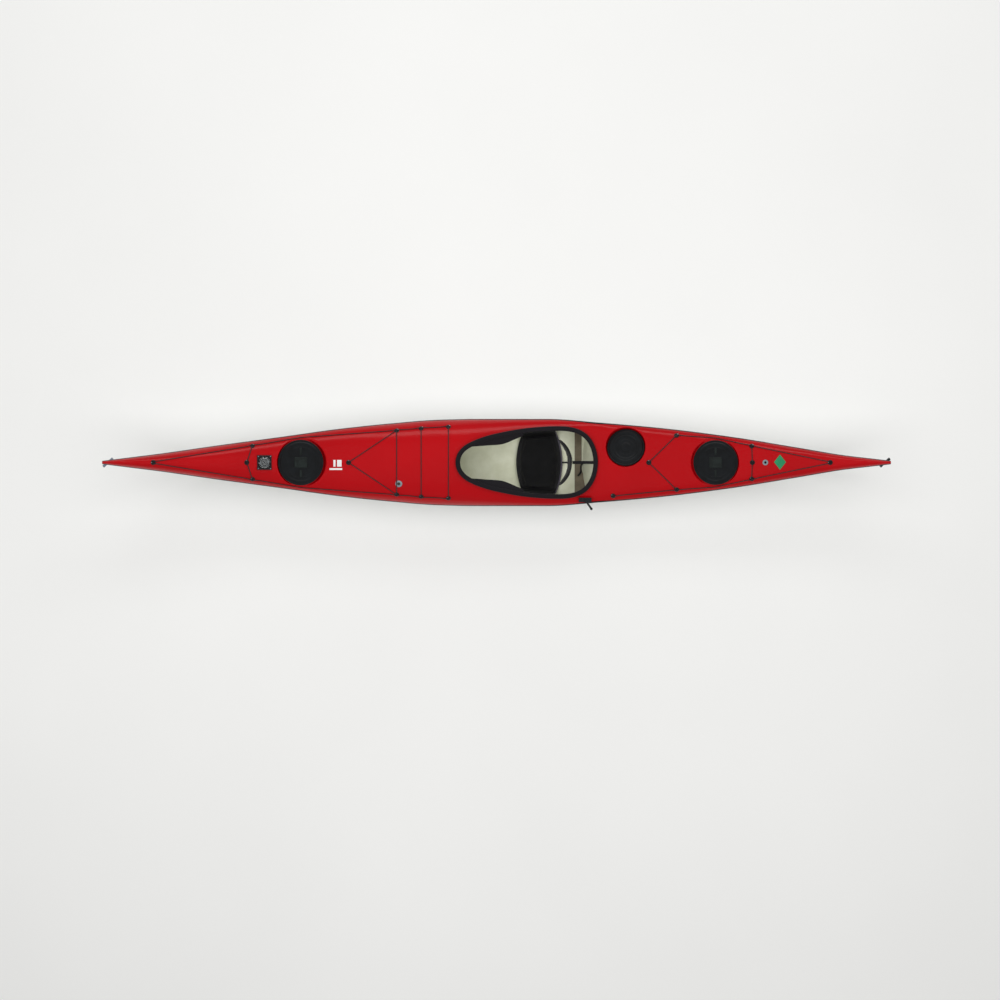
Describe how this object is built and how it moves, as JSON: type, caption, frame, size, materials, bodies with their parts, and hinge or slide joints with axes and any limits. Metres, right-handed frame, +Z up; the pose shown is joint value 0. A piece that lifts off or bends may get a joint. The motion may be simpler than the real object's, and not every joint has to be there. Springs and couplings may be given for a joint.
{
  "type": "sea kayak",
  "caption": "Closed-deck sea kayak with a keyhole cockpit, round rubber hatches, deck lines, drop skeg, deck compass, footrests and end toggles.",
  "frame": {"origin": "on the keel's flat rest amidships, at the boat's lowest level", "axes": "+X from bow to stern, +Y to starboard, +Z up"},
  "size_m": [5.2, 0.6009, 0.4721],
  "materials": {
    "red_gelcoat": "polished gelcoat",
    "white_gelcoat": "polished gelcoat",
    "black_gelcoat": "gelcoat",
    "cream_laminate": "bare composite laminate",
    "black_rubber": "moulded rubber",
    "black_plastic": "moulded",
    "grey_plastic": "moulded",
    "black_cord": "braided cord",
    "pale_cord": "braided cord",
    "black_foam": "covered foam",
    "white_card": "printed card",
    "clear_dome": "clear",
    "blade_plastic": "moulded"
  },
  "bodies": {
    "hull": {"hull_shell": "white_gelcoat", "deck_shell": "red_gelcoat", "seam_band": "black_gelcoat", "cockpit_coaming": "black_gelcoat", "seat_pan": "black_plastic", "seat_pad": "black_foam", "footrest_rail_port": "black_plastic", "footrest_rail_starboard": "black_plastic", "bulkhead_front": "cream_laminate", "bulkhead_day": "cream_laminate", "bulkhead_stern": "cream_laminate", "hatch_rim_bow": "black_plastic", "hatch_rim_day": "black_plastic", "hatch_rim_stern": "black_plastic", "compass_base": "black_plastic", "compass_dome": "clear_dome", "pump_outlet": "grey_plastic", "stern_socket": "grey_plastic", "skeg_case": "blade_plastic", "skeg_control_housing": "black_plastic", "skeg_cable_tube": "black_plastic", "fore_deck_line": "black_cord", "fore_v_bungee": "black_cord", "fore_bungee_1": "black_cord", "fore_bungee_2": "black_cord", "aft_deck_line": "black_cord", "fitting_bow_end": "black_plastic", "fitting_fore_centre": "black_plastic", "fitting_fore_port_1": "black_plastic", "fitting_fore_starboard_1": "black_plastic", "fitting_fore_ridge": "black_plastic", "fitting_fore_port_2": "black_plastic", "fitting_fore_starboard_2": "black_plastic", "fitting_fore_port_3": "black_plastic", "fitting_fore_starboard_3": "black_plastic", "fitting_fore_port_4": "black_plastic", "fitting_fore_starboard_4": "black_plastic", "fitting_aft_port_1": "black_plastic", "fitting_aft_ridge": "black_plastic", "fitting_aft_port_2": "black_plastic", "fitting_aft_starboard_2": "black_plastic", "fitting_aft_port_3": "black_plastic", "fitting_aft_starboard_3": "black_plastic", "fitting_aft_centre": "black_plastic", "fitting_stern_end": "black_plastic"},
    "bow_hatch_cover": {"hatch_cover_bow": "black_rubber"},
    "day_hatch_cover": {"hatch_cover_day": "black_rubber"},
    "stern_hatch_cover": {"hatch_cover_stern": "black_rubber"},
    "compass_card": {"compass_card": "white_card"},
    "skeg_blade": {"skeg_blade": "blade_plastic"},
    "skeg_lever": {"skeg_control_lever": "black_plastic"},
    "bow_toggle": {"bow_toggle": "grey_plastic", "bow_toggle_cord": "pale_cord"},
    "stern_toggle": {"stern_toggle": "black_plastic", "stern_toggle_cord": "black_cord"},
    "backband": {"backband": "black_foam", "backband_strap": "black_cord"},
    "port_pedal": {"footrest_pedal_port": "black_plastic"},
    "starboard_pedal": {"footrest_pedal_starboard": "black_plastic"}
  },
  "joints": [
    {"name": "bow_hatch_lift", "type": "slide", "parent": "hull", "child": "bow_hatch_cover", "axis": [0.0319, 0, 0.9995], "range_m": [0, 0.12]},
    {"name": "day_hatch_lift", "type": "slide", "parent": "hull", "child": "day_hatch_cover", "axis": [-0.089, 0.241, 0.9664], "range_m": [0, 0.12]},
    {"name": "stern_hatch_lift", "type": "slide", "parent": "hull", "child": "stern_hatch_cover", "axis": [-0.0521, 0, 0.9986], "range_m": [0, 0.12]},
    {"name": "compass_turn", "type": "hinge", "parent": "hull", "child": "compass_card", "pos_m": [-1.5304, 0, 0.3417], "axis": [0.081, 0, 0.9967], "continuous": true},
    {"name": "skeg_swing", "type": "hinge", "parent": "hull", "child": "skeg_blade", "pos_m": [1.6718, 0, 0.0866], "axis": [0, 1, 0], "range_deg": [0, 50]},
    {"name": "skeg_lever_swing", "type": "hinge", "parent": "hull", "child": "skeg_lever", "pos_m": [0.584, -0.247, 0.24893], "axis": [0, 0, 1], "range_deg": [-70, 0]},
    {"name": "bow_toggle_swing", "type": "hinge", "parent": "hull", "child": "bow_toggle", "pos_m": [-2.56, 0, 0.41182], "axis": [0, 1, 0], "range_deg": [-20, 95]},
    {"name": "stern_toggle_swing", "type": "hinge", "parent": "hull", "child": "stern_toggle", "pos_m": [2.56, 0, 0.40266], "axis": [0, 1, 0], "range_deg": [-95, 20]},
    {"name": "backband_tilt", "type": "hinge", "parent": "hull", "child": "backband", "pos_m": [0.38, 0, 0.168], "axis": [0, 1, 0], "range_deg": [-15, 0]},
    {"name": "port_pedal_slide", "type": "slide", "parent": "hull", "child": "port_pedal", "axis": [0.9956, -0.0938, 0], "range_m": [-0.13, 0.13]},
    {"name": "starboard_pedal_slide", "type": "slide", "parent": "hull", "child": "starboard_pedal", "axis": [0.9956, 0.0938, 0], "range_m": [-0.13, 0.13]}
  ],
  "couplings": [
    {"joint": "skeg_lever_swing", "follows": "skeg_swing", "ratio": -1.4}
  ]
}
